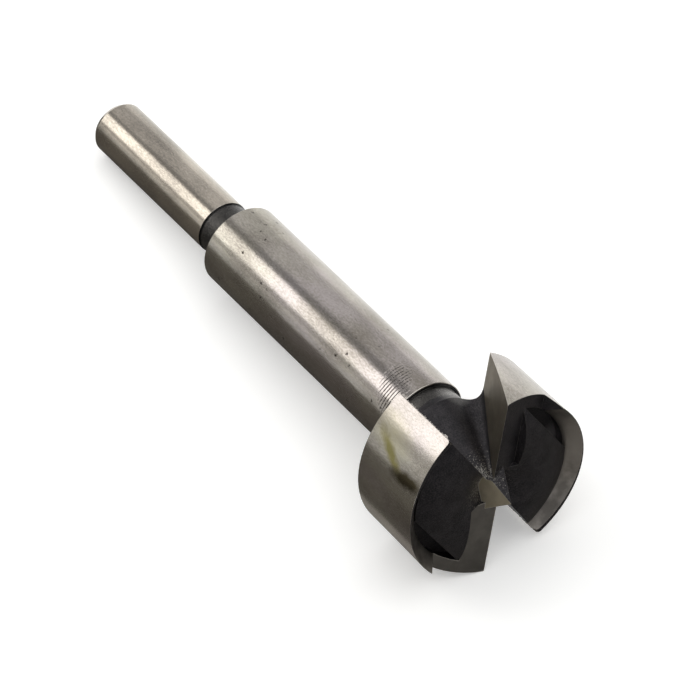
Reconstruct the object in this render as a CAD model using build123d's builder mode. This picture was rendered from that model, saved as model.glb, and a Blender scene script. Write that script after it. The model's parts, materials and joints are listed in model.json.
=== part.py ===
from build123d import *
from math import acos, asin, atan, atan2, cos, degrees, hypot, pi, radians, sin, sqrt, tan
import os

# Wood boring bit of the cup-hinge pattern, made from one bar of steel.
# The bit is shaped upright: its axis is Z, the cutting edges lie in the plane Z = 0, the centre spur points
# up and the shank hangs down. The finished bit is then laid on its side, as it comes to rest on a bench.
# Seen from the cutting end it turns anticlockwise, so "ahead" means anticlockwise and "behind" clockwise.

# Turned sizes
head_diameter = 35.0
head_height = 14.8
side_clearance = 0.2
shank_diameter = 10.0
shank_ground_length = 34.3
shank_end_chamfer_length = 0.8
shank_end_chamfer_depth = 0.5
rear_neck_length = 5.4
rear_neck_depth = 0.18
body_diameter = 15.3
body_length = 55.6
body_rear_bevel = 0.3
body_front_bevel = 0.12
front_neck_diameter = 13.9
front_neck_length = 5.6
flare_radius = 3.0

# Rim
rim_height = 0.7
rim_width = 2.45
rim_bevel_angle = 48.3
rim_top_fall = 2.9
rim_top_drop = 0.25
rim_heel_angle = 88.4
heel_corner_radius = 0.8

# Cutting lips
lip_angle = 47.3
lip_lead = 0.85
hook_angle = 26.4
relief_angle = 14.3
lip_land_width = 4.9
nose_land_width = 10.05
nose_lean = 33.0
nose_radius = 0.5
lip_inner_end = 2.2
lip_inner_end_back = 3.6

# Gullets, which leave a tapered core between them; "rear" is at the flare's foot, "front" at Z = 0
core_front_radius = 1.95
core_rear_radius = 7.8
gullet_front_blend = 0.1
gullet_rear_blend = 3.5
heel_front_blend = 0.1
heel_rear_blend = 1.0

# Floor inside the rim, forged with a low ring-shaped swell
swell_radius = 9.0
swell_height = 0.35
swell_arc_radius = 11.0
slot_chord_distance = 12.9
slot_depth = 3.8

# Centre spur, a four-sided blade
spur_height = 4.4
spur_root_depth = 4.8
spur_collar_top_radius = 2.45
spur_collar_radius = 2.3
spur_collar_depth = 1.35
spur_long_corner = (-3.2, -1.95)
spur_short_corner = (0.57, 2.46)

# Room that the tool paths leave above and around the head, and past the rim's heel in degrees
tool_overrun = 3.0
grind_side_room = 10.0

# Values that follow from the sizes above
head_radius = head_diameter / 2
head_rear_radius = head_radius - side_clearance
head_rear = -head_height
body_front = head_rear - front_neck_length
body_rear = body_front - body_length
shank_front = body_rear - rear_neck_length
shank_end = shank_front - shank_ground_length
shank_radius = shank_diameter / 2
body_radius = body_diameter / 2
front_neck_radius = front_neck_diameter / 2
rear_neck_radius = shank_radius - rear_neck_depth
rim_inner_radius = head_radius - rim_width
rim_slope = tan(radians(rim_bevel_angle))
rim_inner_level = rim_height - rim_width * rim_slope
hook = tan(radians(hook_angle))
relief = tan(radians(relief_angle))
reach = head_radius + tool_overrun
top = rim_height + tool_overrun
spur_root_scale = (spur_height + spur_root_depth) / spur_height
spur_corners = [
    spur_long_corner,
    (-spur_short_corner[0], -spur_short_corner[1]),
    (-spur_long_corner[0], -spur_long_corner[1]),
    spur_short_corner,
]

# Directions and planes for the wing whose cutting edge points along edge_direction
edge_direction = Vector(1, 0, 0).rotate(Axis.Z, lip_angle)
ahead = Vector(0, 1, 0).rotate(Axis.Z, lip_angle)
heel_direction = Vector(1, 0, 0).rotate(Axis.Z, rim_heel_angle)
heel_normal = Vector(0, -1, 0).rotate(Axis.Z, rim_heel_angle)
relief_normal = (Vector(0, 0, 1) - ahead * relief).normalized()
rim_top_normal = Vector(0, 0, 1).rotate(Axis.Y, rim_top_fall)
beyond_heel_normal = heel_normal.rotate(Axis.Z, -grind_side_room)
beyond_heel_plane = Plane(origin=(0, 0, 0), x_dir=(0, 0, 1), z_dir=beyond_heel_normal)
relief_plane = Plane(origin=ahead * lip_lead, x_dir=edge_direction, z_dir=relief_normal)

# Shank, body and necks, turned about one axis, with the core that the gullets leave standing
with BuildPart() as bar:
    with BuildSketch(Plane.XZ):
        with BuildLine():
            shaft_line = Polyline(
                (0, shank_end),
                (shank_radius - shank_end_chamfer_depth, shank_end),
                (shank_radius, shank_end + shank_end_chamfer_length),
                (shank_radius, shank_front - rear_neck_depth),
                (rear_neck_radius, shank_front),
                (rear_neck_radius, body_rear),
                (body_radius - body_rear_bevel, body_rear),
                (body_radius, body_rear + body_rear_bevel),
                (body_radius, body_front - body_front_bevel),
                (body_radius - body_front_bevel, body_front),
                (front_neck_radius, body_front),
                (front_neck_radius, head_rear - flare_radius),
            )
            flare = RadiusArc(
                shaft_line @ 1,
                (front_neck_radius + flare_radius, head_rear),
                flare_radius,
            )
            Polyline(
                flare @ 1,
                (0, head_rear),
                (0, shank_end),
            )
        make_face()
    revolve(axis=Axis.Z)

# Centre spur: a four-sided blade whose faces run on below the cutting plane as its root
with BuildPart() as spur:
    with BuildSketch(Plane.XY.offset(-spur_root_depth)) as spur_root:
        with BuildLine():
            Polyline(
                [(x * spur_root_scale, y * spur_root_scale) for x, y in spur_corners],
                close=True,
            )
        make_face()
    loft([spur_root.sketch.face(), Vertex(0, 0, spur_height)])

# The part of the spur that stands above the cutting plane
with BuildPart() as spur_point:
    add(spur.part)
    split(bisect_by=Plane.XY, keep=Keep.TOP)

# Section of a gullet: a wedge between the hooked rake face and the upright heel of the other wing's rim,
# blended into the round core along both sides
def gullet_section(level, core_radius, rake_blend, heel_blend):
    rake_line = lip_lead + hook * level
    rake_reach = sqrt((core_radius + rake_blend) ** 2 - (rake_line + rake_blend) ** 2)
    rake_centre = edge_direction * rake_reach + ahead * (rake_line + rake_blend)
    rake_middle = (rake_centre.normalized() + ahead).normalized()
    heel_reach = sqrt((core_radius + heel_blend) ** 2 - heel_blend**2)
    heel_centre = heel_direction * heel_reach + heel_normal * heel_blend
    heel_middle = (heel_centre.normalized() + heel_normal).normalized()
    core_middle = (rake_centre.normalized() + heel_centre.normalized()).normalized()
    with BuildSketch(Plane.XY.offset(level)) as section:
        with BuildLine():
            rake_side = Line(
                edge_direction * 2 * reach + ahead * rake_line,
                rake_centre - ahead * rake_blend,
            )
            rake_corner = ThreePointArc(
                rake_side @ 1,
                rake_centre - rake_middle * rake_blend,
                rake_centre.normalized() * core_radius,
            )
            core_side = ThreePointArc(
                rake_corner @ 1,
                core_middle * core_radius,
                heel_centre.normalized() * core_radius,
            )
            heel_corner = ThreePointArc(
                core_side @ 1,
                heel_centre - heel_middle * heel_blend,
                heel_direction * heel_reach,
            )
            Polyline(
                heel_corner @ 1,
                heel_direction * 2 * reach,
                edge_direction * 2 * reach + ahead * 2 * reach,
                rake_side @ 0,
            )
        make_face()
    return section.sketch.face()


with BuildPart() as gullet:
    front_section = gullet_section(
        0, core_front_radius, gullet_front_blend, heel_front_blend
    )
    rear_section = gullet_section(
        head_rear - flare_radius, core_rear_radius, gullet_rear_blend, heel_rear_blend
    )
    loft([rear_section, front_section], ruled=True)
    extrude(front_section, amount=top)

# Lip land: the strip along the cutting edge that the relief plane is ground on. Its sides stand square to
# that plane.
with BuildPart() as lip_land:
    with BuildSketch(relief_plane):
        with BuildLine():
            Polyline(
                (lip_inner_end + tool_overrun, tool_overrun),
                (reach, tool_overrun),
                (reach, -lip_land_width),
                (lip_inner_end_back, -lip_land_width),
                (lip_inner_end, 0),
                close=True,
            )
        make_face()
    extrude(amount=reach, both=True)

# Nose land: the wider ground patch under the rim. It ends at the rim's nose, whose front leans back and is
# rounded towards the rim's top.
nose_foot = relief_plane.from_local_coords((0, -nose_land_width))
nose_back = nose_foot.dot(ahead)
nose_slope = Vector(-sin(radians(nose_lean)), cos(radians(nose_lean)))
nose_tangent = nose_radius * tan(radians(90 - nose_lean) / 2)
nose_rise = (rim_height - nose_foot.Z) / nose_slope.Y
nose_point = Vector(nose_back, nose_foot.Z) + nose_slope * nose_rise
with BuildPart() as nose_land:
    with BuildSketch(Plane(origin=(0, 0, 0), x_dir=ahead, z_dir=edge_direction)):
        with BuildLine():
            nose_arc = TangentArc(
                nose_point - (nose_tangent, 0),
                nose_point - nose_slope * nose_tangent,
                tangent=(1, 0),
            )
            Polyline(
                nose_arc @ 1,
                nose_point - nose_slope * reach,
                (lip_lead + tool_overrun, -reach),
                (lip_lead + tool_overrun, reach),
                nose_arc @ 0 + (0, reach),
                nose_arc @ 0,
            )
        make_face()
    extrude(amount=reach)
    with BuildSketch(Plane.XY.offset(-2 * reach)):
        Circle(rim_inner_radius)
    extrude(amount=4 * reach, mode=Mode.SUBTRACT)

# Everything above the relief plane, which the grinding wheel takes off the lands
with BuildPart() as relief_cut:
    with BuildSketch(relief_plane):
        Rectangle(4 * reach, 4 * reach)
    extrude(amount=reach)

# Hollow of the floor inside the rim: it follows the ring-shaped swell
with BuildPart() as floor_hollow:
    with BuildSketch(Plane.XZ):
        with BuildLine():
            swell_centre = swell_height - swell_arc_radius
            swell_span = degrees(acos((rim_inner_radius - swell_radius) / swell_arc_radius))
            axis_span = degrees(acos(-swell_radius / swell_arc_radius))
            swell = CenterArc(
                (swell_radius, swell_centre), swell_arc_radius, swell_span, axis_span - swell_span
            )
            Polyline(
                swell @ 1,
                (0, top),
                (rim_inner_radius, top),
                swell @ 0,
            )
        make_face()
    revolve(axis=Axis.Z)
    with PolarLocations(0, 2):
        add(lip_land.part, mode=Mode.SUBTRACT)
    add(spur.part, mode=Mode.SUBTRACT)

# Inner bevel of the rim
with BuildPart() as rim_bevel:
    with BuildSketch(Plane.XZ):
        with BuildLine():
            Polyline(
                (rim_inner_radius, rim_inner_level),
                (reach, rim_inner_level + (reach - rim_inner_radius) * rim_slope),
                (rim_inner_radius, rim_inner_level + (reach - rim_inner_radius) * rim_slope),
                close=True,
            )
        make_face()
    revolve(axis=Axis.Z)
    with PolarLocations(0, 2):
        add(nose_land.part, mode=Mode.SUBTRACT)

# Slot between the floor's swell and the rim, straight on its inner side
with BuildPart() as rim_slot:
    with BuildSketch(Plane.XY.offset(-slot_depth)):
        Circle(rim_inner_radius)
        with Locations((-slot_chord_distance, 0)):
            Rectangle(2 * reach, 2 * reach, align=(Align.MIN, Align.CENTER), mode=Mode.SUBTRACT)
    extrude(amount=slot_depth + top)

# What the relief grinding takes off one wing: all that stands above the relief plane over its lands
with BuildPart() as relief_grind:
    add(lip_land.part)
    add(nose_land.part)
    add(relief_cut.part, mode=Mode.INTERSECT)
    add(spur.part, mode=Mode.SUBTRACT)

# What the rim loses where its top is ground flat, sloping down towards the heel
with BuildPart() as rim_grind:
    with BuildSketch(Plane(origin=(0, 0, -rim_top_drop), x_dir=(0, 1, 0), z_dir=rim_top_normal)):
        Rectangle(4 * reach, 4 * reach)
    extrude(amount=reach)
    with BuildSketch(Plane.XY.offset(-reach)):
        Circle(rim_inner_radius)
    extrude(amount=3 * reach, mode=Mode.SUBTRACT)
    split(bisect_by=beyond_heel_plane, keep=Keep.BOTTOM)

# Collar at the spur's foot, where the gullets leave a little more than the tapered core
with BuildPart() as spur_collar:
    with BuildSketch(Plane.XZ):
        with BuildLine():
            Polyline(
                (0, 0),
                (spur_collar_top_radius, 0),
                (spur_collar_radius, -spur_collar_depth),
                (0, -spur_collar_depth),
                close=True,
            )
        make_face()
    revolve(axis=Axis.Z)


# The short edges where the rim's ground top meets the heels
def is_heel_corner(edge):
    middle = edge.center()
    on_heel = abs(middle.dot(heel_normal)) < rim_top_drop
    on_top = middle.Z > -2 * rim_top_drop
    return on_heel and on_top and hypot(middle.X, middle.Y) > rim_inner_radius


# The whole bit, upright
with BuildPart() as upright:
    add(bar.part)
    with BuildSketch(Plane.XZ):
        with BuildLine():
            Polyline(
                (0, head_rear),
                (head_rear_radius, head_rear),
                (head_radius, rim_height),
                (0, rim_height),
                close=True,
            )
        make_face()
    revolve(axis=Axis.Z)
    with PolarLocations(0, 2):
        add(gullet.part, mode=Mode.SUBTRACT)
    add(spur_collar.part)
    add(floor_hollow.part, mode=Mode.SUBTRACT)
    add(rim_bevel.part, mode=Mode.SUBTRACT)
    with PolarLocations(0, 2):
        add(rim_slot.part, mode=Mode.SUBTRACT)
        add(relief_grind.part, mode=Mode.SUBTRACT)
        add(rim_grind.part, mode=Mode.SUBTRACT)
    add(spur_point.part)
    fillet(upright.edges().filter_by(is_heel_corner), radius=heel_corner_radius)

# Lying at rest: the bit touches the bench with the outer corner of one cutting edge, the rear corner of the
# other wing's heel and the lower edge of the shank's end. All three touch one plane, whose normal leans by
# rest_tilt and whose foot lies rest_roll round the axis.
corner_roll = radians(lip_angle) + asin(lip_lead / head_radius) + pi
corner_drop = shank_end + shank_end_chamfer_length
heel_roll = radians(rim_heel_angle) + pi
heel_drop = corner_drop - head_rear
cos_part = corner_drop * head_rear_radius * cos(heel_roll) - heel_drop * head_radius * cos(corner_roll)
sin_part = corner_drop * head_rear_radius * sin(heel_roll) - heel_drop * head_radius * sin(corner_roll)
rest_side = acos((corner_drop - heel_drop) * shank_radius / hypot(cos_part, sin_part))
rest_roll = atan2(sin_part, cos_part) + rest_side
rest_tilt = atan((head_radius * cos(rest_roll - corner_roll) - shank_radius) / -corner_drop)
down = Vector(cos(rest_roll) * cos(rest_tilt), sin(rest_roll) * cos(rest_tilt), -sin(rest_tilt))

resting = Plane(origin=(0, 0, 0), x_dir=Vector(0, 0, 1) + down * sin(rest_tilt), z_dir=-down)
settled = upright.part.moved(resting.location.inverse())
settled_box = settled.bounding_box()
bench = Location((-settled_box.center().X, -settled_box.center().Y, -settled_box.min.Z))

with BuildPart() as boring_bit:
    add(settled.moved(bench))

boring_bit.part.label = "boring_bit"
os.makedirs("parts", exist_ok=True)
export_step(boring_bit.part, "parts/boring_bit.step")
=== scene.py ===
# %% [markdown]
# # A wood boring bit lying on a bench
#
# The bit is one bar of tool steel: a ground shank, a thicker body, a forged neck and a cutting head with two
# wings round a centre spur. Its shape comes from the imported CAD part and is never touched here. This script
# gives it its finishes, the small marks of its making and wear, and a plain studio to be seen in.

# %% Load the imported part
import json
import random
from math import cos, radians, sin

import bpy
from mathutils import Euler, Matrix, Vector


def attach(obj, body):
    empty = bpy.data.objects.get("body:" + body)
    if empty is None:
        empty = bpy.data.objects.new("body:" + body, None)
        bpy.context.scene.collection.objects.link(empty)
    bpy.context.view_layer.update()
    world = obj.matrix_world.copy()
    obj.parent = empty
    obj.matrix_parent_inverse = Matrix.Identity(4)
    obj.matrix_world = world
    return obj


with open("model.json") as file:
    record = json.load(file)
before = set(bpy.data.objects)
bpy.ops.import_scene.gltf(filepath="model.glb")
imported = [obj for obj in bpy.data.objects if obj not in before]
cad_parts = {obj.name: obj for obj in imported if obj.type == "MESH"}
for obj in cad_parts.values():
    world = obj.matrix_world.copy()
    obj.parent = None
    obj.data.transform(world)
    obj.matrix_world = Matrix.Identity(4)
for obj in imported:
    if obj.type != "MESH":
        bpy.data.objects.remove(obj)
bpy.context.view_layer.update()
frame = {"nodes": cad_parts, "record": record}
bit = frame["nodes"]["boring_bit"]

# %% [markdown]
# ## The bit's own directions
#
# The bit rests on the rear of its shank and on a cutting corner and a heel of its head, so its axis rises a
# little towards the spur. All its turned and ground surfaces are simplest along that axis, so the script
# works in the bit's own directions and in millimetres: Z runs along the axis to the spur, with zero at the
# cutting edges, and X and Y lie in the cutting plane. The shank's mount in the record gives the axis. The
# mount's level on that axis and the roll about it place the rest.

# %% Directions of the bit
MM = 0.001
SHANK_MOUNT_LEVEL = -98.21
ROLL = radians(242.3466)

shank_mount = frame["record"]["mounts"][0]
axis = -Vector(shank_mount["axis"]).normalized()
cutting_centre = Vector(shank_mount["pos_m"]) - axis * SHANK_MOUNT_LEVEL * MM
level_side = axis.cross(Vector((0, 0, 1))).normalized()
steep_side = level_side.cross(axis)
bit_x = level_side * sin(ROLL) - steep_side * cos(ROLL)
bit_y = axis.cross(bit_x)
to_bit = Matrix((bit_x, bit_y, axis))
print("axis", axis[:], "cutting centre", cutting_centre[:])

# %% [markdown]
# ## Which finish each face of the steel has
#
# One bar can still carry several finishes. The shank, the body and the outside of the wings were ground
# bright after hardening. The neck and the gullets keep the black scale of the heat treatment. The rake faces,
# the lands behind the cutting edges and the spur were ground with a wheel. Each face of the solid belongs to
# one of these, so every polygon gets its material by where it lies and which way it faces. A mask painted in
# one big material could do the same, but face by face the borders stay exactly on the real edges.

# %% Levels, radii and directions of the faces
# Levels along the axis and radii round it.
NECK_REAR, NECK_FRONT = -81.6, -76.0
BODY_FRONT, HEAD_REAR = -20.4, -14.8
SPUR_RADIUS, RIM_RADIUS, SKIN_RADIUS = 6.0, 14.0, 17.1
SPUR_TIP = Vector((0, 0, 4.4))

# The two cutting lips lie a little ahead of the bit's centre. The rake hooks under them, the land falls away.
LIP_ANGLE = radians(47.3)
LIP_LEAD = 0.85
HOOK_SLOPE, RELIEF_SLOPE = 0.4964, 0.2549

ahead = Vector((-sin(LIP_ANGLE), cos(LIP_ANGLE), 0))
rake_facing = (ahead - Vector((0, 0, HOOK_SLOPE))).normalized()
land_facing = (Vector((0, 0, 1)) - ahead * RELIEF_SLOPE).normalized()
spur_facing = Vector((-0.73, 0.63, 0.26)).normalized()
print("the lips lead by", LIP_LEAD, "mm, the rake faces", rake_facing[:], "and the land", land_facing[:])

# %% Finish of each face
# How close a face has to be to a plane, a level and a direction to count as lying on it. Of what is left
# outside the rim's radius, the bevel is what rises between the two last values.
PLANE_MATCH = 0.02
STEP_MATCH = 0.01
FACE_MATCH, SKIN_MATCH, SPUR_MATCH = 0.9995, 0.97, 0.8
RIM_FLATTEST, RIM_STEEPEST = 0.75, 0.6


def lies_on(place, normal, facing):
    for side in (1, -1):
        towards = Vector((side * facing.x, side * facing.y, facing.z))
        off_plane = (place - side * LIP_LEAD * ahead).dot(towards)
        if normal.dot(towards) > FACE_MATCH and abs(off_plane) < PLANE_MATCH:
            return True
    return False


def finish_of(place, normal):
    level, radius = place.z, place.xy.length
    points_at_tip = abs(normal.dot(place - SPUR_TIP)) < PLANE_MATCH
    if points_at_tip and radius < SPUR_RADIUS and level > BODY_FRONT:
        return "spur" if abs(normal.xy.dot(spur_facing.xy)) > SPUR_MATCH else "scale"
    if level < NECK_REAR:
        return "bright"
    if level < NECK_FRONT + STEP_MATCH:
        return "neck"
    if level < BODY_FRONT - STEP_MATCH:
        return "bright"
    if level < HEAD_REAR and abs(normal.z) < STEP_MATCH:
        return "neck"
    if radius > SKIN_RADIUS and normal.xy.dot(place.xy) > SKIN_MATCH * radius:
        return "bright"
    if lies_on(place, normal, rake_facing):
        return "rake"
    if lies_on(place, normal, land_facing):
        return "land" if place.x < 0 else "scale"
    if radius > RIM_RADIUS and RIM_STEEPEST < normal.z < RIM_FLATTEST:
        return "rim"
    return "scale"


print("a face in the middle of the body is", finish_of(Vector((0, 7.6, -50)), Vector((0, 1, 0))))

# %% [markdown]
# ## Helpers for the materials
#
# Every colour is written as the sRGB hex value that a picture shows, and one function turns it into the
# linear numbers that the shader wants. One small function adds a node. All patterns are laid out in the bit's
# own directions in millimetres, so that a noise scale of 4 means four cells in a millimetre. Most finishes
# are a ground colour with thin things lying on it, such as tarnish, oil or a rubbed edge. They are mixed over
# it one after the other, each where its own mask is 1.


# %% Colours and nodes
def colour(hex_value):
    channels = [int(hex_value[i : i + 2], 16) / 255 for i in (1, 3, 5)]
    linear = [c / 12.92 if c <= 0.04045 else ((c + 0.055) / 1.055) ** 2.4 for c in channels]
    return (*linear, 1)


def node(tree, kind, inputs=None, **settings):
    made = tree.nodes.new("ShaderNode" + kind)
    for name, value in settings.items():
        setattr(made, name, value)
    for name, value in (inputs or {}).items():
        if isinstance(value, bpy.types.NodeSocket):
            tree.links.new(value, made.inputs[name])
        else:
            made.inputs[name].default_value = value
    return made


print("mid grey in linear numbers", colour("#808080")[0])


# %% Steel, its directions and its layers
def steel_material(name, roughness):
    made = bpy.data.materials.new(name)
    made.use_nodes = True
    shader = made.node_tree.nodes["Principled BSDF"]
    shader.inputs["Metallic"].default_value = 1
    shader.inputs["Roughness"].default_value = roughness
    return made, made.node_tree, shader


def bit_millimetres(tree):
    settings = {
        "Vector": node(tree, "TexCoord").outputs["Object"],
        "Location": -(to_bit @ cutting_centre) / MM,
        "Rotation": to_bit.to_euler(),
        "Scale": (1 / MM, 1 / MM, 1 / MM),
    }
    return node(tree, "Mapping", settings).outputs["Vector"]


def laid_over(tree, ground_hex, layers):
    shade = colour(ground_hex)
    for mask, layer_hex in layers:
        shade = node(tree, "Mix", {0: mask, 6: shade, 7: colour(layer_hex)}, data_type="RGBA").outputs[2]
    return shade


print("patterns start at", (-(to_bit @ cutting_centre) / MM)[:], "mm")

# %% [markdown]
# ## Rounded edges, rubbed and painted bright
#
# No real edge is perfectly sharp, and bare steel shines where it is rubbed. The Bevel node bends the shading
# round each edge as a tiny radius would, and where its normal leaves the face's own normal there is an edge.
# That difference is the mask of a thin bright line, partly rubbed steel and partly a painted highlight. Real
# bevels cut into the mesh would do it too, but the solid's mesh is the frame and stays as it is.

# %% Edge rounding
EDGE_RADIUS = 0.12 * MM
FLAT, ROUNDED = 0.995, 0.9


def rounded_edges(tree):
    rounded = node(tree, "Bevel", {"Radius": EDGE_RADIUS}, samples=8).outputs["Normal"]
    face = node(tree, "NewGeometry").outputs["Normal"]
    match = node(tree, "VectorMath", {0: rounded, 1: face}, operation="DOT_PRODUCT").outputs["Value"]
    edge = node(tree, "MapRange", {"Value": match, "From Min": FLAT, "From Max": ROUNDED}).outputs["Result"]
    return rounded, edge


print("edge radius in millimetres", EDGE_RADIUS / MM)

# %% [markdown]
# ## Ground bright steel
#
# The shank, the body and the wings' outside are hardened tool steel ground between centres. The stone leaves
# fine lines round the bar and a surface that waves a little along its length, and years in a box leave faint
# brown tarnish. To the eye that gives a satin sheen with a lively, slightly broken highlight. A picture of
# steel wrapped round the bar would show a seam, so four noises of different size run straight through the
# solid: mottle, ripples, clouds and tints, all drawn out along the bar. Real mottle is finer than the render
# can show, so it is drawn as wide as one dot of it, about a fifth of a millimetre.

# %% Patterns of the bright steel
# Size in millimetres, then the noise's detail and roughness.
MOTTLE = (0.22, 4.0, 0.8)
RIPPLES = (1.8, 2.0, 0.5)
CLOUDS = (6.0, 5.0, 0.5)
TINTS = (9.0, 3.0, 0.5)
DRAWN_OUT = 0.4


def steel_patterns(tree, place):
    along = node(tree, "Mapping", {"Vector": place, "Scale": (1, 1, DRAWN_OUT)}).outputs[0]
    made = []
    for size, detail, roughness in (MOTTLE, RIPPLES, CLOUDS, TINTS):
        noise = {"Vector": along, "Scale": 1 / size, "Detail": detail, "Roughness": roughness}
        made.append(node(tree, "TexNoise", noise).outputs[0])
    return made


print("mottle in millimetres", MOTTLE[0], "ripples", RIPPLES[0], "clouds", CLOUDS[0], "tints", TINTS[0])

# %% [markdown]
# The colour itself wanders between an olive and a violet grey, and the shank, which a chuck keeps clean, is a
# little warmer and paler. Tarnish lies where mottle and clouds are both strong. One even grey would look like
# plastic beside it, because bare steel never tarnishes evenly.

# %% Colour of the bright steel
OLIVE_STEEL, VIOLET_STEEL, SHANK_STEEL, TARNISHED_STEEL = "#bcb8ac", "#bbb4b1", "#c0b8ab", "#8b857c"
VIOLET_FROM, VIOLET_FULL = 0.4, 0.6
TARNISH_FROM, TARNISH_FULL = 0.84, 1.24


def bright_layers(tree, place, mottle, clouds, tints):
    violet = node(tree, "MapRange", {"Value": tints, "From Min": VIOLET_FROM, "From Max": VIOLET_FULL})
    level = node(tree, "SeparateXYZ", {0: place}).outputs["Z"]
    on_shank = node(tree, "Math", {0: level, 1: NECK_REAR}, operation="LESS_THAN")
    both = node(tree, "Math", {0: mottle, 1: clouds}, operation="ADD").outputs[0]
    tarnish = node(tree, "MapRange", {"Value": both, "From Min": TARNISH_FROM, "From Max": TARNISH_FULL})
    return [
        (violet.outputs[0], VIOLET_STEEL),
        (on_shank.outputs[0], SHANK_STEEL),
        (tarnish.outputs[0], TARNISHED_STEEL),
    ]


print("bright steel between", OLIVE_STEEL, "and", VIOLET_STEEL, "tarnished to", TARNISHED_STEEL)

# %% [markdown]
# ## Marks that have a place of their own
#
# A stain or a worn patch sits in one place, so it needs a mask that is 1 there and 0 elsewhere. A painted
# picture could carry it, but a ball in space needs no unwrapping. The spherical gradient is 1 at its centre
# and 0 at a radius of 1, and a Mapping node of the Texture type moves, turns and stretches it. The run is the
# way its long axis points, and the reach is half its size on each of its own axes. A low softness keeps the
# mask full nearly to its border, and one above 1 lets the mark stay thin even in its middle.


# %% A ball as a mask
def stretched_ball(tree, place, centre, run, reach, soft):
    turn = Vector(run).to_track_quat("Z", "Y").to_euler()
    local = {"Vector": place, "Location": centre, "Rotation": turn, "Scale": reach}
    inside = node(tree, "Mapping", local, vector_type="TEXTURE").outputs[0]
    depth = node(tree, "TexGradient", {"Vector": inside}, gradient_type="SPHERICAL").outputs["Fac"]
    return node(tree, "MapRange", {"Value": depth, "From Min": 0.0, "From Max": soft}).outputs[0]


UPRIGHT = (0, 0, 1)
print("a ball along the axis is turned by", Vector(UPRIGHT).to_track_quat("Z", "Y").to_euler()[:])

# %% [markdown]
# The lathe's last turns still show at the front of the body, where the grinding stone ran out: fine dark
# rings that fade and break up. Rings cut into the mesh would need thousands of faces for something a tenth of
# a millimetre deep, so they are a wave texture along the axis, inside a ball and broken by the mottle.

# %% Lathe turns
# From turn to turn in millimetres. At a scale of 1 the wave texture repeats every 0.314 units.
TURN_PITCH = 0.62
WAVE_AT_SCALE_ONE = 0.314
TURNS_CENTRE, TURNS_RUN, TURNS_REACH = (0.5, 7.6, -24.0), (0.824, -0.055, -0.563), (3.2, 3.2, 6.6)
TURNS_SOFT, TURNS_WANDER, TURNS_WANDER_SCALE = 0.35, 1.2, 0.4
BROKEN_BELOW, WHOLE_ABOVE = 0.36, 0.5
GROOVE_FROM, GROOVE_FULL = 0.72, 0.88


def lathe_turns(tree, place, mottle):
    waves = {
        "Vector": place,
        "Scale": WAVE_AT_SCALE_ONE / TURN_PITCH,
        "Distortion": TURNS_WANDER,
        "Detail": 2.0,
        "Detail Scale": TURNS_WANDER_SCALE,
    }
    rings = node(tree, "TexWave", waves, bands_direction="Z").outputs["Fac"]
    grooves = node(tree, "MapRange", {"Value": rings, "From Min": GROOVE_FROM, "From Max": GROOVE_FULL})
    near = stretched_ball(tree, place, TURNS_CENTRE, TURNS_RUN, TURNS_REACH, TURNS_SOFT)
    whole = node(tree, "MapRange", {"Value": mottle, "From Min": BROKEN_BELOW, "From Max": WHOLE_ABOVE})
    level = node(tree, "SeparateXYZ", {0: place}).outputs["Z"]
    on_body = node(tree, "Math", {0: level, 1: BODY_FRONT}, operation="LESS_THAN").outputs[0]
    where = node(tree, "Math", {0: near, 1: whole.outputs[0]}, operation="MULTIPLY").outputs[0]
    where = node(tree, "Math", {0: where, 1: on_body}, operation="MULTIPLY").outputs[0]
    return node(tree, "Math", {0: grooves.outputs[0], 1: where}, operation="MULTIPLY").outputs[0]


print("lathe turns every", TURN_PITCH, "mm")

# %% [markdown]
# Rust has eaten a few small pits into the body. They come in groups and no two have the same outline. Voronoi
# cells give each pit a centre and a random size, a noise bends them out of round, the clouds gather them and
# most cells stay empty. Loose dots scattered as objects would float on the steel instead of sinking into it.

# %% Pits
# Sizes in millimetres. A random size times the mottle is seldom over a third, so the radius is divided by it.
PIT_SPACING, PIT_RADIUS, PIT_BORDER = 1.5, 0.24, 0.04
PIT_BEND, PIT_BEND_SIZE = 0.9, 0.4
GROUP_FROM, GROUP_FULL, SELDOM_OVER = 0.4, 0.6, 1 / 3


def pits_in(tree, place, mottle, clouds):
    bend = node(tree, "TexNoise", {"Vector": place, "Scale": 1 / PIT_BEND_SIZE, "Detail": 2.0})
    bent = {0: bend.outputs["Color"], 1: (PIT_BEND, PIT_BEND, PIT_BEND), 2: place}
    bent = node(tree, "VectorMath", bent, operation="MULTIPLY_ADD").outputs[0]
    cells = node(tree, "TexVoronoi", {"Vector": bent, "Scale": 1 / PIT_SPACING})
    size = node(tree, "SeparateXYZ", {0: cells.outputs["Color"]}).outputs["X"]
    size = node(tree, "Math", {0: size, 1: mottle}, operation="MULTIPLY").outputs[0]
    largest = PIT_RADIUS / PIT_SPACING / SELDOM_OVER
    group = {"Value": clouds, "From Min": GROUP_FROM, "From Max": GROUP_FULL, "To Max": largest}
    group = node(tree, "MapRange", group).outputs[0]
    size = node(tree, "Math", {0: size, 1: group}, operation="MULTIPLY").outputs[0]
    inside = node(tree, "Math", {0: size, 1: cells.outputs["Distance"]}, operation="SUBTRACT").outputs[0]
    deep = node(tree, "MapRange", {"Value": inside, "From Min": 0.0, "From Max": PIT_BORDER}).outputs[0]
    level = node(tree, "SeparateXYZ", {0: place}).outputs["Z"]
    body = {0: level, 1: (NECK_FRONT + BODY_FRONT) / 2, 2: (BODY_FRONT - NECK_FRONT) / 2}
    on_body = node(tree, "Math", body, operation="COMPARE").outputs[0]
    return node(tree, "Math", {0: deep, 1: on_body}, operation="MULTIPLY").outputs[0]


print("pits every", PIT_SPACING, "mm, up to", PIT_RADIUS, "mm in radius")

# %% [markdown]
# Cutting oil dried on the outside of one wing: a wide thin film, a yellow streak in it and the dark crust at
# the streak's end. Each is a stretched ball, and a slow noise shifts the place before it is asked for, so
# that the borders wander as a dried drop's do.

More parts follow.
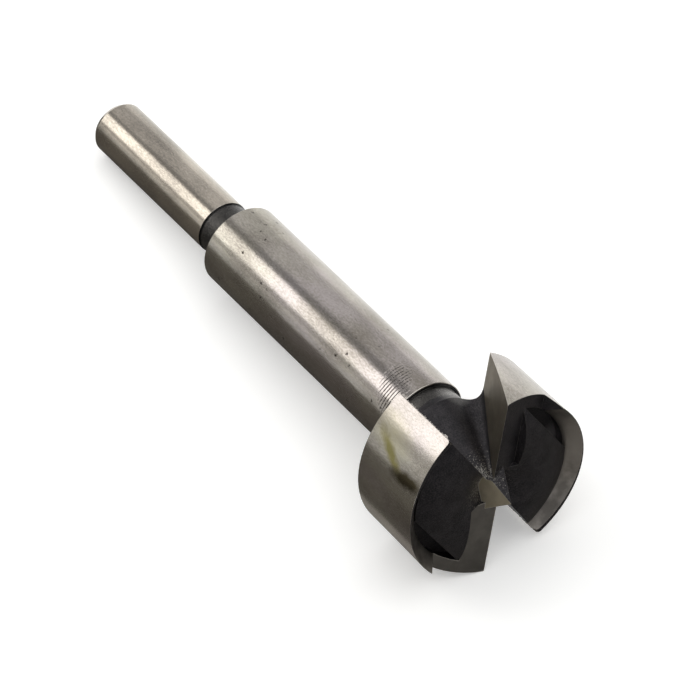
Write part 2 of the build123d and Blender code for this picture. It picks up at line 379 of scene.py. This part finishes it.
# %% Dried oil
FILM_CENTRE, FILM_RUN, FILM_REACH = (-5.0, 16.6, -10.5), (-0.2, 0.0, 1.0), (4.0, 3.6, 6.5)
STAIN_CENTRE, STAIN_RUN, STAIN_REACH = (-7.6, 15.6, -8.8), (-0.439, -0.193, 0.878), (4.0, 1.3, 6.6)
CRUST_CENTRE, CRUST_RUN, CRUST_REACH = (-9.1, 14.8, -3.0), (0.1, 0.05, 1.0), (4.0, 1.6, 5.6)
FILM_SOFT, STAIN_SOFT, CRUST_SOFT = 1.5, 0.7, 0.6
FILM_OIL, STAIN_OIL, CRUST_OIL = "#bfba9c", "#8f885c", "#4a4333"
OIL_WANDER, OIL_WANDER_SIZE = 1.1, 1.25


def dried_oil(tree, place):
    wander = node(tree, "TexNoise", {"Vector": place, "Scale": 1 / OIL_WANDER_SIZE, "Detail": 4.0})
    shift = {0: wander.outputs["Color"], 1: (OIL_WANDER, OIL_WANDER, OIL_WANDER), 2: place}
    shifted = node(tree, "VectorMath", shift, operation="MULTIPLY_ADD").outputs[0]
    half = (OIL_WANDER / 2, OIL_WANDER / 2, OIL_WANDER / 2)
    around = node(tree, "VectorMath", {0: shifted, 1: half}, operation="SUBTRACT").outputs[0]
    return [
        (stretched_ball(tree, around, FILM_CENTRE, FILM_RUN, FILM_REACH, FILM_SOFT), FILM_OIL),
        (stretched_ball(tree, around, STAIN_CENTRE, STAIN_RUN, STAIN_REACH, STAIN_SOFT), STAIN_OIL),
        (stretched_ball(tree, around, CRUST_CENTRE, CRUST_RUN, CRUST_REACH, CRUST_SOFT), CRUST_OIL),
    ]


print("the oil streak is", 2 * STAIN_REACH[2], "mm long and", 2 * STAIN_REACH[1], "mm wide")

# %% [markdown]
# Along the heel of each wing the ground skin is darker in a thin seam. The plane through the two
# heels and the axis gives the distance from that edge, and the mottle makes the dark seam ragged.

# %% Torn heel edge
HEEL_ANGLE = radians(88.4)
SEAM_WIDTH, SEAM_BORDER = 0.3, 0.1
SEAM_GAIN, SEAM_LOSS = 2.2, 0.9

beside_heel = Vector((sin(HEEL_ANGLE), -cos(HEEL_ANGLE), 0))


def heel_seam(tree, place, mottle):
    off = node(tree, "VectorMath", {0: place, 1: beside_heel}, operation="DOT_PRODUCT").outputs["Value"]
    off = node(tree, "Math", {0: off}, operation="ABSOLUTE").outputs[0]
    ragged = {0: mottle, 1: SEAM_GAIN * SEAM_WIDTH, 2: -SEAM_LOSS * SEAM_WIDTH}
    ragged = node(tree, "Math", ragged, operation="MULTIPLY_ADD").outputs[0]
    inside = node(tree, "Math", {0: ragged, 1: off}, operation="SUBTRACT").outputs[0]
    near = node(tree, "MapRange", {"Value": inside, "From Min": 0.0, "From Max": SEAM_BORDER}).outputs[0]
    level = node(tree, "SeparateXYZ", {0: place}).outputs["Z"]
    on_wing = node(tree, "Math", {0: level, 1: BODY_FRONT}, operation="GREATER_THAN").outputs[0]
    return node(tree, "Math", {0: near, 1: on_wing}, operation="MULTIPLY").outputs[0]


print("the plane of the heels faces", beside_heel[:])

# %% [markdown]
# Now the bright steel is put together: the layers over the ground colour, a roughness that follows the
# clouds, and the relief. The stone's lines are finer than the render can show, so they are drawn a quarter of
# a millimetre wide. Turns and pits have a negative depth, because they lie below the skin.

# %% Put the bright steel together
LINE_WIDTH, LINE_LENGTH = 0.25, 20 / 3
BRIGHT_SMOOTH, BRIGHT_MIDDLE, BRIGHT_DULL = 0.17, 0.2, 0.25
CLOUD_LOW, CLOUD_HIGH = 0.3, 0.7
# The rubbed edge is a thin bright line: partly rubbed steel, partly a painted highlight.
RUBBED_EDGE_AND_HIGHLIGHT, TURN_SHADE, PIT_SHADE, SEAM_SHADE = "#d9d5cd", "#2c2622", "#3a332d", "#34302c"


def make_bright_steel():
    made, tree, shader = steel_material("ground_bright_steel", BRIGHT_MIDDLE)
    place = bit_millimetres(tree)
    mottle, ripples, clouds, tints = steel_patterns(tree, place)
    turns = lathe_turns(tree, place, mottle)
    pits = pits_in(tree, place, mottle, clouds)
    seam = heel_seam(tree, place, mottle)
    rounded, edge = rounded_edges(tree)
    layers = bright_layers(tree, place, mottle, clouds, tints)
    layers += [(edge, RUBBED_EDGE_AND_HIGHLIGHT)] + dried_oil(tree, place)
    layers += [(turns, TURN_SHADE), (pits, PIT_SHADE), (seam, SEAM_SHADE)]
    tree.links.new(laid_over(tree, OLIVE_STEEL, layers), shader.inputs["Base Color"])
    rough = {"Value": clouds, "From Min": CLOUD_LOW, "From Max": CLOUD_HIGH}
    rough.update({"To Min": BRIGHT_SMOOTH, "To Max": BRIGHT_DULL})
    tree.links.new(node(tree, "MapRange", rough).outputs[0], shader.inputs["Roughness"])
    line_sizes = (1 / LINE_LENGTH, 1 / LINE_LENGTH, 1 / LINE_WIDTH)
    lines_place = node(tree, "Mapping", {"Vector": place, "Scale": line_sizes}).outputs[0]
    lines = node(tree, "TexNoise", {"Vector": lines_place, "Scale": 1.0, "Detail": 2.0}).outputs[0]
    # Pattern, strength of its bump and its depth in millimetres.
    relief = [
        (clouds, 0.3, 0.05),
        (ripples, 0.5, 0.04),
        (mottle, 0.3, 0.008),
        (lines, 0.12, 0.02),
        (turns, 0.8, -0.05),
        (pits, 1.0, -0.05),
    ]
    normal = rounded
    for height, strength, depth in relief:
        bump = {"Height": height, "Strength": strength, "Distance": depth * MM, "Normal": normal}
        normal = node(tree, "Bump", bump).outputs[0]
    tree.links.new(normal, shader.inputs["Normal"])
    return made


bright_steel = make_bright_steel()
print(bright_steel.name, "nodes", len(bright_steel.node_tree.nodes))

# %% [markdown]
# ## Black scale
#
# The necks, the gullets and the hollow inside the rim were forged or turned and never ground. Hardening and
# tempering left them a thin skin of black iron oxide. It is dark and a little rough, with fine lighter grains
# where the skin is thin, and it keeps a dull metallic shine at a low angle. Two noises give grains and
# clouds, and the skin is thin where both are high. Real grains are finer than the render can show, so they
# are drawn about a fifth of a millimetre wide.

# %% Patterns of the scale
GRAIN, SCALE_CLOUD = 0.22, 20 / 7
CLOUD_SHARE = 0.45
THIN_FROM, THIN_FULL = 0.6, 0.95


def scale_patterns(tree, place):
    grains = {"Vector": place, "Scale": 1 / GRAIN, "Detail": 3.0, "Roughness": 0.7}
    grains = node(tree, "TexNoise", grains).outputs[0]
    clouds = node(tree, "TexNoise", {"Vector": place, "Scale": 1 / SCALE_CLOUD, "Detail": 5.0}).outputs[0]
    both = node(tree, "Math", {0: clouds, 1: CLOUD_SHARE, 2: grains}, operation="MULTIPLY_ADD").outputs[0]
    thin = node(tree, "MapRange", {"Value": both, "From Min": THIN_FROM, "From Max": THIN_FULL}).outputs[0]
    return grains, clouds, thin


print("grains in millimetres", GRAIN, "clouds", round(SCALE_CLOUD, 2))

# %% [markdown]
# Wear has its places on the scale. Chips rub the skin off in bright specks round the foot of the spur. The
# side of the front neck facing the light gets a painted highlight, and the slot end of one wing, in shade, is
# painted lighter. Beside the rear neck's two shoulders, where the steps shade it, lies painted shadow. The
# specks are the highest grains, and the nearer the spur, the lower the height from which a grain is bare.

# %% Wear of the scale
# A painted highlight: paler grey on the side of the front neck that faces the light.
LIT_NECK_HIGHLIGHT, LIT_NECK_HIGHLIGHT_REACH, LIT_NECK_HIGHLIGHT_SOFT = (6.4, 2.7, -18.0), (3.5, 3.5, 3.4), 0.8
# Painted light: the end of one wing's slot lies in shade and is painted lighter.
LIT_SLOT_END, LIT_SLOT_END_REACH, LIT_SLOT_END_SOFT = (13.9, -6.6, -3.7), (4.0, 4.0, 2.4), 1.0
# Painted shadow: a dark band along each shoulder of the rear neck, where the steps shade it.
SHOULDER_OFF, SHOULDER_REACH = 2.6, 0.25
SPECKS_CENTRE, SPECKS_REACH = (-0.8, 2.0, -2.0), 9.0
BARE_NEAR, BARE_FAR, SPECK_BORDER = 0.45, 0.78, 0.05


# Painted shadow beside the rear neck's shoulders.
def painted_shoulder_shadows(tree, place):
    level = node(tree, "SeparateXYZ", {0: place}).outputs["Z"]
    off = node(tree, "Math", {0: level, 1: (NECK_REAR + NECK_FRONT) / 2}, operation="SUBTRACT").outputs[0]
    off = node(tree, "Math", {0: off}, operation="ABSOLUTE").outputs[0]
    return node(tree, "Math", {0: off, 1: SHOULDER_OFF, 2: SHOULDER_REACH}, operation="COMPARE").outputs[0]


def bare_specks(tree, place, grains):
    away = node(tree, "VectorMath", {0: place, 1: SPECKS_CENTRE}, operation="DISTANCE").outputs["Value"]
    least = {"Value": away, "From Min": 0, "From Max": SPECKS_REACH, "To Min": BARE_NEAR, "To Max": BARE_FAR}
    least = node(tree, "MapRange", least).outputs[0]
    bare = node(tree, "Math", {0: grains, 1: least}, operation="SUBTRACT").outputs[0]
    return node(tree, "MapRange", {"Value": bare, "From Min": 0.0, "From Max": SPECK_BORDER}).outputs[0]


print("specks reach", SPECKS_REACH, "mm from the foot of the spur")

# %% [markdown]
# The scale's settings lie between oxide and steel: partly metallic, with a low sheen where it isn't. The two
# necks were rubbed while the bit was turned and held, so their scale is greyer, smoother and more metallic
# than that of the head. One recipe makes both.

# %% Put the scale together
SCALE_SHEEN = 0.3
SCALE_SWING = 0.06
GRAIN_DEPTH = 0.06
# A painted highlight on the front neck, painted light at the slot's end and painted shadow by the shoulders.
LIT_NECK_HIGHLIGHT_SHADE, SLOT_END_PAINTED_LIGHT, SHOULDER_PAINTED_SHADOW = "#a9a7a3", "#767374", "#101010"
# The edge shade is a paler line along the scale's edges: partly rubbed scale, partly a painted highlight.
SPECK_SHADE, SCALE_EDGE_AND_HIGHLIGHT = "#8a8780", "#4b4947"


def make_scale(name, metallic, roughness, dark_hex, thin_hex):
    made, tree, shader = steel_material(name, roughness)
    shader.inputs["Metallic"].default_value = metallic
    shader.inputs["Specular IOR Level"].default_value = SCALE_SHEEN
    place = bit_millimetres(tree)
    grains, clouds, thin = scale_patterns(tree, place)
    # Painted highlight on the lit side of the front neck.
    lit_neck_highlight = stretched_ball(tree, place, LIT_NECK_HIGHLIGHT, UPRIGHT, LIT_NECK_HIGHLIGHT_REACH, LIT_NECK_HIGHLIGHT_SOFT)
    lit_neck_highlight = node(tree, "Math", {0: lit_neck_highlight, 1: grains}, operation="MULTIPLY").outputs[0]
    # Painted light at the shaded end of one wing's slot.
    lit_slot_end = stretched_ball(tree, place, LIT_SLOT_END, UPRIGHT, LIT_SLOT_END_REACH, LIT_SLOT_END_SOFT)
    rounded, edge = rounded_edges(tree)
    layers = [
        (thin, thin_hex),
        (lit_neck_highlight, LIT_NECK_HIGHLIGHT_SHADE),
        (lit_slot_end, SLOT_END_PAINTED_LIGHT),
        (painted_shoulder_shadows(tree, place), SHOULDER_PAINTED_SHADOW),
        (bare_specks(tree, place, grains), SPECK_SHADE),
        (edge, SCALE_EDGE_AND_HIGHLIGHT),
    ]
    tree.links.new(laid_over(tree, dark_hex, layers), shader.inputs["Base Color"])
    rough = {"Value": clouds, "From Min": CLOUD_LOW, "From Max": CLOUD_HIGH}
    rough.update({"To Min": roughness - SCALE_SWING, "To Max": roughness + SCALE_SWING})
    tree.links.new(node(tree, "MapRange", rough).outputs[0], shader.inputs["Roughness"])
    grainy = {"Height": grains, "Strength": 1.0, "Distance": GRAIN_DEPTH * MM, "Normal": rounded}
    tree.links.new(node(tree, "Bump", grainy).outputs[0], shader.inputs["Normal"])
    return made


black_scale = make_scale("black_scale", 0.5, 0.44, "#131215", "#3b383a")
neck_scale = make_scale("grey_scale_of_necks", 0.9, 0.25, "#31302f", "#5a5855")
print(black_scale.name, "nodes", len(black_scale.node_tree.nodes))

# %% [markdown]
# ## Wheel-ground steel
#
# The rake faces, the lands, the rim's bevel and the spur's facets are ground last, each in a pass of a small
# wheel. The wheel draws straight lines, so the grain runs one way over each face and dulls its shine. The
# same recipe serves all of them, with the direction of the pass, the roughness and the colour as its choices:
# the rake faces are brownish from the heat, the lands and the rim greyer, and the spur pale. One side of the
# rim has a painted highlight, a paler patch. Real wheel lines are finer, and these are drawn one dot of the
# render wide.

# %% Wheel-ground steel
WHEEL_LINE, WHEEL_LINE_LENGTH, WHEEL_CLOUD = 0.18, 25 / 3, 2.5
WHEEL_STRENGTH, WHEEL_DEPTH = 0.5, 0.02
PALE_FROM, PALE_FULL = 0.4, 0.7
# A painted highlight: a paler patch on one side of the rim.
RIM_HIGHLIGHT, RIM_HIGHLIGHT_REACH, RIM_HIGHLIGHT_SOFT = (15.4, -6.0, 0.0), (8.0, 8.0, 8.0), 0.7
# The edge shade is a pale line along the ground edges: partly rubbed steel, partly a painted highlight.
RIM_HIGHLIGHT_SHADE, WHEEL_EDGE_AND_HIGHLIGHT = "#aaa6a1", "#d8d4ca"


def make_wheel_ground(name, turn, roughness, ground_hex, pale_hex):
    made, tree, shader = steel_material(name, roughness)
    place = bit_millimetres(tree)
    turned = node(tree, "Mapping", {"Vector": place, "Rotation": (0, 0, turn)}).outputs[0]
    line_sizes = (1 / WHEEL_LINE_LENGTH, 1 / WHEEL_LINE, 1 / WHEEL_LINE)
    stretched = node(tree, "Mapping", {"Vector": turned, "Scale": line_sizes}).outputs[0]
    lines = node(tree, "TexNoise", {"Vector": stretched, "Scale": 1.0, "Detail": 2.0}).outputs[0]
    clouds = node(tree, "TexNoise", {"Vector": place, "Scale": 1 / WHEEL_CLOUD, "Detail": 4.0}).outputs[0]
    pale = node(tree, "MapRange", {"Value": clouds, "From Min": PALE_FROM, "From Max": PALE_FULL}).outputs[0]
    # Painted highlight on one side of the rim.
    rim_highlight = stretched_ball(tree, place, RIM_HIGHLIGHT, UPRIGHT, RIM_HIGHLIGHT_REACH, RIM_HIGHLIGHT_SOFT)
    rounded, edge = rounded_edges(tree)
    layers = [(pale, pale_hex), (rim_highlight, RIM_HIGHLIGHT_SHADE), (edge, WHEEL_EDGE_AND_HIGHLIGHT)]
    tree.links.new(laid_over(tree, ground_hex, layers), shader.inputs["Base Color"])
    lined = {"Height": lines, "Strength": WHEEL_STRENGTH, "Distance": WHEEL_DEPTH * MM, "Normal": rounded}
    tree.links.new(node(tree, "Bump", lined).outputs[0], shader.inputs["Normal"])
    return made


rake_steel = make_wheel_ground("ground_rake", -LIP_ANGLE, 0.45, "#7d7567", "#8f8777")
land_steel = make_wheel_ground("ground_land", radians(90) - LIP_ANGLE, 0.4, "#757370", "#83817d")
rim_steel = make_wheel_ground("ground_rim", 0, 0.4, "#76726d", "#a09b95")
spur_steel = make_wheel_ground("ground_spur", 0, 0.6, "#beb5a0", "#cec5b0")
print("wheel-ground faces", [made.name for made in (rake_steel, land_steel, rim_steel, spur_steel)])

# %% [markdown]
# ## The finishes on the bit
#
# The solid arrives as one mesh, and a real bit is one piece too. So the mesh keeps all its faces together and
# only gets seven material slots. Each polygon is asked where it lies in the bit's own directions, and takes
# the slot of the finish that belongs there.

# %% Put the finishes on the bit
FINISHES = {
    "bright": bright_steel,
    "scale": black_scale,
    "neck": neck_scale,
    "rake": rake_steel,
    "land": land_steel,
    "rim": rim_steel,
    "spur": spur_steel,
}

bit.data.materials.clear()
for material in FINISHES.values():
    bit.data.materials.append(material)
counts = dict.fromkeys(FINISHES, 0)
for polygon in bit.data.polygons:
    finish = finish_of(to_bit @ (polygon.center - cutting_centre) / MM, to_bit @ polygon.normal)
    polygon.material_index = list(FINISHES).index(finish)
    counts[finish] += 1
print("faces of each finish", counts)

# %% [markdown]
# ## Burrs on the heels
#
# Where the mill left the wing at its heel, the outer corner keeps a ragged burr: a thin lip of torn steel
# that nobody dressed. It is what makes that edge look bitten against the black gullet. A bump can't change an
# outline, so the burr is a small mesh: a three-sided lip whose tip wanders by a seeded random amount. One
# burr has a torn place near the cutting edge, where it stands higher.

# %% Sections of a burr
# Millimetres: the wing's radius at the cutting edges, how much it grows for each millimetre forwards, and the
# burr's levels, width, seat in the wing and torn place.
HEAD_RADIUS, HEAD_TAPER = 17.49, 0.0129
BURR_START, BURR_END, BURR_STEPS = -14.5, -0.7, 70
BURR_WIDTH, BURR_SEAT = 0.3, 0.06
TORN_FROM, TORN_TO = -2.4, -1.3
SIDES = 3


def burr_sections(name, side, highest, torn):
    chance = random.Random(name)
    outward = side * Vector((cos(HEEL_ANGLE), sin(HEEL_ANGLE), 0))
    clear = outward.cross(Vector((0, 0, 1)))
    corners = []
    for step in range(BURR_STEPS + 1):
        level = BURR_START + (BURR_END - BURR_START) * step / BURR_STEPS
        radius = HEAD_RADIUS + HEAD_TAPER * level
        reach = highest * chance.random() ** 2
        if TORN_FROM < level < TORN_TO:
            reach += torn
        height = Vector((0, 0, level))
        corners.append(outward * radius - clear * BURR_SEAT + height)
        corners.append(outward * (radius - BURR_WIDTH) - clear * BURR_SEAT + height)
        corners.append(outward * (radius - BURR_WIDTH * chance.random()) + clear * reach + height)
    return corners


print("a burr has", BURR_STEPS + 1, "sections from", BURR_START, "to", BURR_END, "mm")


# %% Burrs
def make_burr(name, side, highest, torn):
    corners = burr_sections(name, side, highest, torn)
    last = SIDES * BURR_STEPS
    polygons = [(0, 2, 1), (last, last + 1, last + 2)]
    for first in range(0, last, SIDES):
        beyond = first + SIDES
        for here, following in ((0, 1), (1, 2), (2, 0)):
            polygons.append((first + here, first + following, beyond + following, beyond + here))
    mesh = bpy.data.meshes.new(name)
    places = [cutting_centre + to_bit.transposed() @ corner * MM for corner in corners]
    mesh.from_pydata(places, [], polygons)
    mesh.materials.append(bright_steel)
    made = bpy.data.objects.new(name, mesh)
    bpy.context.scene.collection.objects.link(made)
    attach(made, "root")
    return made


burrs = [make_burr("upper_heel_burr", 1, 0.24, 0.28), make_burr("lower_heel_burr", -1, 0.14, 0.0)]
print("burrs", [(burr.name, len(burr.data.polygons)) for burr in burrs])

# %% [markdown]
# ## Floor and backdrop
#
# The bit lies on a plain pale bench that turns up into a low pale wall all round, far behind it, so that
# every view has a plain ground. A little of its whiteness is its own glow for what the camera and the bit's
# reflections see. That makes it read as white without more light on the bit, and the bit keeps its shadow.

# %% Paint of the bench
# The noise has 60 cells across the whole bench, so each pale fleck is about nine centimetres wide.
BENCH_WHITE, BENCH_FLECK, FLECKS_ACROSS = "#ececea", "#f2f2f0", 60.0
BENCH_GLOW = 0.3
MATT = 0.9


def make_bench_paint():
    made = bpy.data.materials.new("pale_bench_paint")
    made.use_nodes = True
    tree = made.node_tree
    shader = tree.nodes["Principled BSDF"]
    flecks = node(tree, "TexNoise", {"Scale": FLECKS_ACROSS, "Detail": 3.0}).outputs[0]
    tree.links.new(laid_over(tree, BENCH_WHITE, [(flecks, BENCH_FLECK)]), shader.inputs["Base Color"])
    shader.inputs["Roughness"].default_value = MATT
    shader.inputs["Specular IOR Level"].default_value = 0.0
    shader.inputs["Emission Color"].default_value = (1, 1, 1, 1)
    rays = node(tree, "LightPath").outputs
    seen = node(tree, "Math", {0: rays["Is Camera Ray"], 1: rays["Is Glossy Ray"]}, operation="MAXIMUM")
    seen = {0: seen.outputs[0], 1: rays["Is Transmission Ray"]}
    seen = node(tree, "Math", seen, operation="MAXIMUM").outputs[0]
    glow = node(tree, "Math", {0: seen, 1: BENCH_GLOW}, operation="MULTIPLY").outputs[0]
    tree.links.new(glow, shader.inputs["Emission Strength"])
    return made


bench_paint = make_bench_paint()
print(bench_paint.name, BENCH_WHITE)

# %% Bench
# In metres: the flat bench, then how far out and up each ring of the curved foot of the wall lies.
BENCH_RADIUS = 2.5
WALL_FOOT = ((0.0, 0.0), (0.1, 0.03), (0.15, 0.12))
WALL_OUT, WALL_HEIGHT = 0.15, 0.6
BENCH_SIDES = 96


def make_bench():
    rings = [(BENCH_RADIUS + out, up) for out, up in WALL_FOOT]
    rings.append((BENCH_RADIUS + WALL_OUT, WALL_HEIGHT))
    vertices = [(0, 0, 0)]
    for radius, height in rings:
        for k in range(BENCH_SIDES):
            turn = radians(360 * k / BENCH_SIDES)
            vertices.append((radius * cos(turn), radius * sin(turn), height))
    polygons = [(0, 1 + k, 1 + (k + 1) % BENCH_SIDES) for k in range(BENCH_SIDES)]
    for ring in range(len(rings) - 1):
        first = 1 + ring * BENCH_SIDES
        above = first + BENCH_SIDES
        for k in range(BENCH_SIDES):
            following = (k + 1) % BENCH_SIDES
            polygons.append((first + k, above + k, above + following, first + following))
    mesh = bpy.data.meshes.new("bench")
    mesh.from_pydata(vertices, [], polygons)
    mesh.materials.append(bench_paint)
    made = bpy.data.objects.new("bench", mesh)
    bpy.context.scene.collection.objects.link(made)
    return made


bench = make_bench()
print("bench radius in metres", BENCH_RADIUS)

# %% [markdown]
# ## Light
#
# Bare steel shows what stands round it, so the lamps are large soft boxes laid out round the bar like the
# staves of a barrel, each with its long side along the bit. Angles round the bar are counted from the line
# that mirrors the camera. A strong narrow box across that line draws the long streak, a dim one beside it
# lets the streak fade, and a broad dim one on the far side gives a flat grey. The dark gap between the streak
# and the grey is the plain air of the room. A picture of a studio as surroundings could do the same, but
# lamps can be turned one by one until each band on the bar is right.

# %% The line that mirrors the camera
VIEW = Vector((0.550, -0.362, 0.753)).normalized()

facing = (VIEW - axis * VIEW.dot(axis)).normalized()
beside = axis.cross(facing)


def mirror_direction(turn):
    across = VIEW.dot(facing) * (facing * cos(turn) + beside * sin(turn))
    return across - axis * VIEW.dot(axis)


print("the camera is mirrored towards", mirror_direction(0)[:])

# %% Soft boxes
# Distance and length in metres. A lamp of four watts for each square metre of its face shines at strength 1.
BOX_DISTANCE, BOX_LENGTH = 1.0, 0.9
WATTS_AT_ONE = 4
# Name, first and last angle in degrees, strength and tint.
SOFT_BOXES = [
    ("streak_box", -9, 24, 1.62, "#fffdfb"),
    ("fade_box", 24, 45, 0.245, "#fffaf3"),
    ("far_box", -112, -34, 0.365, "#fefcfd"),
]


def soft_box(name, first, last, strength, tint):
    towards = mirror_direction(radians((first + last) / 2))
    half_turn = radians((last - first) / 2)
    lamp = bpy.data.lights.new(name, "AREA")
    lamp.shape = "RECTANGLE"
    lamp.size = BOX_LENGTH
    lamp.size_y = 2 * BOX_DISTANCE * VIEW.dot(facing) * sin(half_turn) / cos(half_turn)
    lamp.energy = WATTS_AT_ONE * strength * lamp.size * lamp.size_y
    lamp.color = colour(tint)[:3]
    made = bpy.data.objects.new(name, lamp)
    bpy.context.scene.collection.objects.link(made)
    made.visible_camera = False
    made.location = towards * BOX_DISTANCE
    along = (axis - towards * axis.dot(towards)).normalized()
    made.rotation_euler = Matrix((along, towards.cross(along), towards)).transposed().to_euler()
    return made


boxes = [soft_box(*row) for row in SOFT_BOXES]
print("soft boxes", [(box.name, round(box.data.energy, 2)) for box in boxes])

# %% [markdown]
# A wide box under the ceiling lights bench and bit evenly and gives the bit its soft shadow. The room's air
# is a dim pale grey, so that nothing on the bit mirrors pure black.

# %% Ceiling and air
CEILING_SIZE, CEILING_WATTS, CEILING_PLACE = 2.2, 21.0, (0.2, 0.1, 1.5)
AIR_COLOUR, AIR_STRENGTH = "#f4f4f6", 0.3

ceiling = bpy.data.lights.new("ceiling_box", "AREA")
ceiling.size = CEILING_SIZE
ceiling.energy = CEILING_WATTS
ceiling_box = bpy.data.objects.new("ceiling_box", ceiling)
bpy.context.scene.collection.objects.link(ceiling_box)
ceiling_box.visible_camera = False
ceiling_box.location = CEILING_PLACE

world = bpy.data.worlds.new("studio_air")
bpy.context.scene.world = world
world.use_nodes = True
air = world.node_tree.nodes["Background"]
air.inputs["Color"].default_value = colour(AIR_COLOUR)
air.inputs["Strength"].default_value = AIR_STRENGTH
print("ceiling at", ceiling_box.location[:])

# %% [markdown]
# ## Cards seen only in the bit's reflections
#
# A product photographer lays cards where steel would mirror a bench that is too bright. The four matt ones
# here are painted reflections, seen by nothing but the bit's mirror rays and casting no shadow. Two dark ones
# along the near side of the bit paint shade into the round steel's near edge, a paler one under the near half
# of the head keeps the lower edge of the wing light, and a grey one before the head keeps its hollows black.
# The far side still mirrors the bench. Less light on the whole bench would darken the near side too, but also
# the floor.

# %% Cards
# The paper of each card has a ground colour and paler fibres, 400 across the card.
CARD_HEIGHT = 0.3 * MM
DARK_REFLECTION_CARD, PALE_REFLECTION_CARD, GREY_REFLECTION_CARD = ("#5b5752", "#67635d"), ("#a5a19a", "#b1ada6"), ("#8b8781", "#97938d")
FIBRES_ACROSS = 400.0
# Borders in metres, along the bench (left, where the head starts, before the head, right) and across it
# (near, beside the head, under the bit, far).
CARD_LEFT, CARD_HEAD, CARD_FRONT, CARD_RIGHT = -0.45, 0.026, 0.055, 0.3
CARD_NEAR, CARD_FOOT, CARD_MIDDLE, CARD_FAR = -0.35, -0.021, 0.0, 0.2


# Each card is a painted reflection: the camera, diffuse light and shadows all pass it by.
def lay_reflection_card(name, left, right, near, far, paper_hexes):
    corners = [(left, near), (right, near), (right, far), (left, far)]
    mesh = bpy.data.meshes.new(name)
    mesh.from_pydata([(x, y, CARD_HEIGHT) for x, y in corners], [], [(0, 1, 2, 3)])
    made = bpy.data.objects.new(name, mesh)
    bpy.context.scene.collection.objects.link(made)
    paper = bpy.data.materials.new(name + "_paper")
    paper.use_nodes = True
    tree = paper.node_tree
    shader = tree.nodes["Principled BSDF"]
    fibres = node(tree, "TexNoise", {"Scale": FIBRES_ACROSS, "Detail": 4.0}).outputs[0]
    tree.links.new(laid_over(tree, paper_hexes[0], [(fibres, paper_hexes[1])]), shader.inputs["Base Color"])
    shader.inputs["Roughness"].default_value = MATT
    mesh.materials.append(paper)
    made.visible_camera = False
    made.visible_diffuse = False
    made.visible_shadow = False
    return made


cards = [
    lay_reflection_card("near_reflection_card", CARD_LEFT, CARD_HEAD, CARD_NEAR, CARD_MIDDLE, DARK_REFLECTION_CARD),
    lay_reflection_card("side_reflection_card", CARD_HEAD, CARD_FRONT, CARD_NEAR, CARD_FOOT, DARK_REFLECTION_CARD),
    lay_reflection_card("foot_reflection_card", CARD_HEAD, CARD_FRONT, CARD_FOOT, CARD_MIDDLE, PALE_REFLECTION_CARD),
    lay_reflection_card("front_reflection_card", CARD_FRONT, CARD_RIGHT, CARD_NEAR, CARD_FAR, GREY_REFLECTION_CARD),
]
print("cards", [card.name for card in cards])

# %% [markdown]
# ## Camera
#
# The photograph was taken from about a metre away with a long lens, looking down at the head. The place and
# turn below were found by matching the shank, the body and the head to their outlines in the picture.

# %% Camera
EYE = (0.53207, -0.34331, 0.72601)
TURN = (radians(41.1718), radians(1.1246), radians(55.3665))
LENS, SENSOR = 296.47, 36
SEES_TO = 20

camera_data = bpy.data.cameras.new("photo_camera")
camera = bpy.data.objects.new("photo_camera", camera_data)
bpy.context.scene.collection.objects.link(camera)
camera.location = EYE
camera.rotation_euler = Euler(TURN)
camera_data.lens = LENS
camera_data.sensor_width = SENSOR
camera_data.clip_end = SEES_TO
bpy.context.scene.camera = camera
bpy.context.scene.view_settings.view_transform = "Standard"
print("camera at", camera.location[:], "lens", camera_data.lens)
